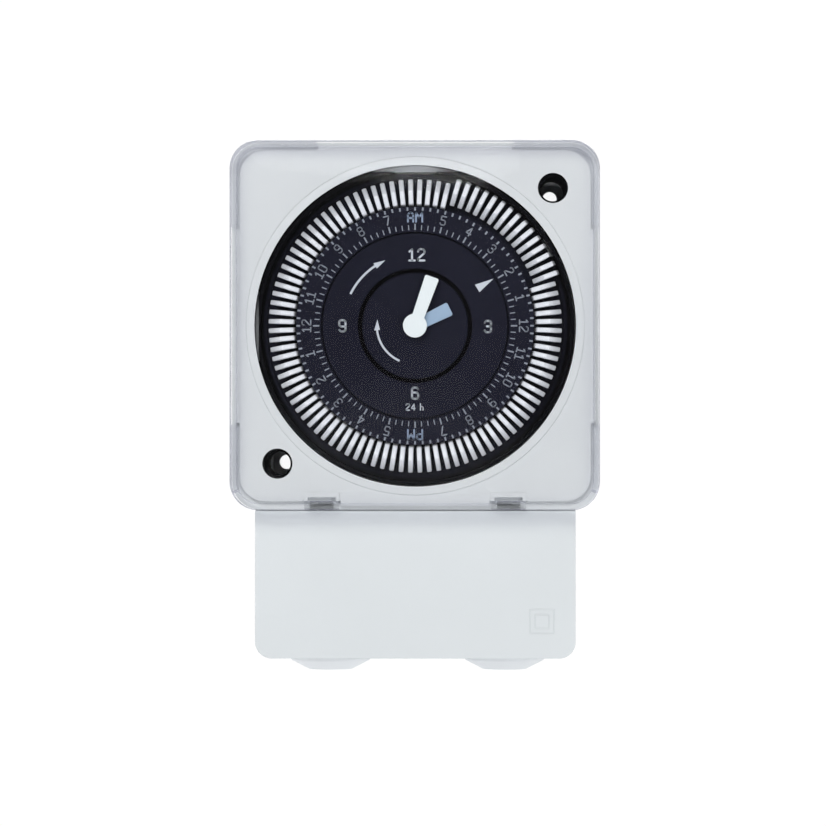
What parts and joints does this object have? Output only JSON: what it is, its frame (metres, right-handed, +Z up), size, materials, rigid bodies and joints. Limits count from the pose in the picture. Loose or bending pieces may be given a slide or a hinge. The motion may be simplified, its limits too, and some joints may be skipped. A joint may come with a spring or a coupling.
{
  "type": "programmable timer",
  "caption": "Electromechanical 24-hour segment timer with clock hands, clear hinged lid and a wall base with a terminal cover, for switching heating or ventilation.",
  "frame": {"origin": "Where the dial axis meets the wall face at the back of the base.", "axes": "+Z up along the tall side, +Y into the wall, so the front looks towards -Y, and +X to the right of someone facing the front."},
  "size_m": [0.072, 0.054, 0.105],
  "materials": {
    "frame_grey": "fine moulded texture",
    "base_grey": "fine moulded texture",
    "black_plastic": "satin black",
    "dial_plastic": "matt blue-black with light printing",
    "white_plastic": "smooth white",
    "blue_plastic": "smooth steel blue",
    "clear_lid": "clear polycarbonate",
    "brass": "bare",
    "steel": "bare",
    "copper": "enamelled copper",
    "board": "solder mask",
    "gear_plastic": "natural acetal",
    "grommet": "soft light grey"
  },
  "bodies": {
    "case": {"wall_base": "base_grey", "cable_grommet_left": "grommet", "cable_grommet_right": "grommet", "terminal_block": "black_plastic", "terminal_clamp_1": "brass", "terminal_clamp_2": "brass", "terminal_clamp_3": "brass", "terminal_clamp_4": "brass", "terminal_clamp_5": "brass", "rear_housing": "black_plastic", "front_frame": "frame_grey", "dial_shroud": "black_plastic", "clock_face": "dial_plastic", "gear_plate": "frame_grey", "movement_plate": "frame_grey", "plate_screw_1": "steel", "plate_screw_2": "steel", "plug_blade_1": "brass", "plug_blade_2": "brass", "plug_blade_3": "brass", "motor_stator": "steel", "motor_coil": "copper", "lever_pin": "steel", "microswitch_body": "black_plastic", "contact_blade": "copper", "contact_fixed": "brass", "circuit_board": "board", "reserve_cell": "steel", "capacitor": "blue_plastic"},
    "lid": {"lid": "clear_lid"},
    "cover": {"terminal_cover": "base_grey"},
    "dial": {"dial_ring": "dial_plastic", "trippers_on": "white_plastic", "trippers_off": "white_plastic"},
    "hour": {"hour_wheel": "gear_plastic", "centre_disc": "dial_plastic", "hour_hand": "blue_plastic"},
    "minute": {"minute_arbor": "steel", "minute_hand": "white_plastic"},
    "motion": {"motion_wheel": "gear_plastic"},
    "idler": {"dial_idler": "gear_plastic"},
    "wheel_2": {"reduction_wheel_2": "gear_plastic"},
    "wheel_1": {"reduction_wheel_1": "gear_plastic"},
    "rotor": {"motor_rotor": "steel"},
    "lever": {"switch_lever": "white_plastic"},
    "plunger": {"microswitch_plunger": "white_plastic"},
    "screw_1": {"terminal_screw_1": "steel"},
    "screw_2": {"terminal_screw_2": "steel"},
    "screw_3": {"terminal_screw_3": "steel"},
    "screw_4": {"terminal_screw_4": "steel"},
    "screw_5": {"terminal_screw_5": "steel"},
    "tripper_1": {"tripper_1": "white_plastic"},
    "tripper_2": {"tripper_2": "white_plastic"},
    "tripper_3": {"tripper_3": "white_plastic"},
    "tripper_4": {"tripper_4": "white_plastic"},
    "tripper_5": {"tripper_5": "white_plastic"},
    "tripper_6": {"tripper_6": "white_plastic"},
    "tripper_7": {"tripper_7": "white_plastic"},
    "tripper_8": {"tripper_8": "white_plastic"}
  },
  "joints": [
    {"name": "lid_open", "type": "hinge", "parent": "case", "child": "lid", "pos_m": [0, -0.0455, -0.0352], "axis": [1, 0, 0], "range_deg": [0, 90]},
    {"name": "cover_off", "type": "slide", "parent": "case", "child": "cover", "axis": [0, 0, -1], "range_m": [0, 0.03]},
    {"name": "dial_turn", "type": "hinge", "parent": "case", "child": "dial", "pos_m": [0, -0.04, 0], "axis": [0, 1, 0], "continuous": true},
    {"name": "hour_turn", "type": "hinge", "parent": "case", "child": "hour", "pos_m": [0, -0.04, 0], "axis": [0, 1, 0], "continuous": true},
    {"name": "minute_turn", "type": "hinge", "parent": "case", "child": "minute", "pos_m": [0, -0.04, 0], "axis": [0, 1, 0], "continuous": true},
    {"name": "motion_turn", "type": "hinge", "parent": "case", "child": "motion", "pos_m": [-0.00274, -0.03, -0.00752], "axis": [0, 1, 0], "continuous": true},
    {"name": "idler_turn", "type": "hinge", "parent": "case", "child": "idler", "pos_m": [-0.0105, -0.036, 0.01819], "axis": [0, 1, 0], "continuous": true},
    {"name": "wheel_2_turn", "type": "hinge", "parent": "case", "child": "wheel_2", "pos_m": [-0.00534, -0.028, -0.01466], "axis": [0, 1, 0], "continuous": true},
    {"name": "wheel_1_turn", "type": "hinge", "parent": "case", "child": "wheel_1", "pos_m": [0.00125, -0.028, -0.01846], "axis": [0, 1, 0], "continuous": true},
    {"name": "rotor_turn", "type": "hinge", "parent": "case", "child": "rotor", "pos_m": [0.00885, -0.028, -0.01846], "axis": [0, 1, 0], "continuous": true},
    {"name": "lever_swing", "type": "hinge", "parent": "case", "child": "lever", "pos_m": [0.0192, -0.0332, 0.01154], "axis": [-0.515, 0, 0.8572], "range_deg": [0, 2]},
    {"name": "plunger_press", "type": "slide", "parent": "case", "child": "plunger", "axis": [0, 1, 0], "range_m": [0, 0.00018]},
    {"name": "screw_1_turn", "type": "hinge", "parent": "case", "child": "screw_1", "pos_m": [-0.021, -0.025, -0.0495], "axis": [0, 1, 0], "continuous": true},
    {"name": "screw_2_turn", "type": "hinge", "parent": "case", "child": "screw_2", "pos_m": [-0.0105, -0.025, -0.0495], "axis": [0, 1, 0], "continuous": true},
    {"name": "screw_3_turn", "type": "hinge", "parent": "case", "child": "screw_3", "pos_m": [0, -0.025, -0.0495], "axis": [0, 1, 0], "continuous": true},
    {"name": "screw_4_turn", "type": "hinge", "parent": "case", "child": "screw_4", "pos_m": [0.0105, -0.025, -0.0495], "axis": [0, 1, 0], "continuous": true},
    {"name": "screw_5_turn", "type": "hinge", "parent": "case", "child": "screw_5", "pos_m": [0.021, -0.025, -0.0495], "axis": [0, 1, 0], "continuous": true},
    {"name": "tripper_1_tilt", "type": "hinge", "parent": "dial", "child": "tripper_1", "pos_m": [0.01259, -0.0415, 0.02355], "axis": [-0.8819, 0, 0.4714], "range_deg": [-31, 0]},
    {"name": "tripper_2_tilt", "type": "hinge", "parent": "dial", "child": "tripper_2", "pos_m": [0.01102, -0.0415, 0.02432], "axis": [-0.9109, 0, 0.4127], "range_deg": [-31, 0]},
    {"name": "tripper_3_tilt", "type": "hinge", "parent": "dial", "child": "tripper_3", "pos_m": [0.00941, -0.0415, 0.02499], "axis": [-0.9359, 0, 0.3523], "range_deg": [-31, 0]},
    {"name": "tripper_4_tilt", "type": "hinge", "parent": "dial", "child": "tripper_4", "pos_m": [0.00775, -0.0415, 0.02555], "axis": [-0.9569, 0, 0.2903], "range_deg": [-31, 0]},
    {"name": "tripper_5_tilt", "type": "hinge", "parent": "dial", "child": "tripper_5", "pos_m": [0.00606, -0.0415, 0.026], "axis": [-0.9739, 0, 0.2271], "range_deg": [0, 31]},
    {"name": "tripper_6_tilt", "type": "hinge", "parent": "dial", "child": "tripper_6", "pos_m": [0.00435, -0.0415, 0.02634], "axis": [-0.9866, 0, 0.1629], "range_deg": [0, 31]},
    {"name": "tripper_7_tilt", "type": "hinge", "parent": "dial", "child": "tripper_7", "pos_m": [0.00262, -0.0415, 0.02657], "axis": [-0.9952, 0, 0.098], "range_deg": [0, 31]},
    {"name": "tripper_8_tilt", "type": "hinge", "parent": "dial", "child": "tripper_8", "pos_m": [0.00087, -0.0415, 0.02669], "axis": [-0.9995, 0, 0.0327], "range_deg": [0, 31]}
  ],
  "couplings": [
    {"joint": "hour_turn", "follows": "dial_turn", "ratio": 2},
    {"joint": "minute_turn", "follows": "dial_turn", "ratio": 24},
    {"joint": "motion_turn", "follows": "dial_turn", "ratio": -8},
    {"joint": "idler_turn", "follows": "dial_turn", "ratio": -7.5},
    {"joint": "wheel_2_turn", "follows": "dial_turn", "ratio": 30},
    {"joint": "wheel_1_turn", "follows": "dial_turn", "ratio": -112.5},
    {"joint": "rotor_turn", "follows": "dial_turn", "ratio": 421.88},
    {"joint": "lever_swing", "follows": "plunger_press", "rad_per_m": 193.93}
  ]
}
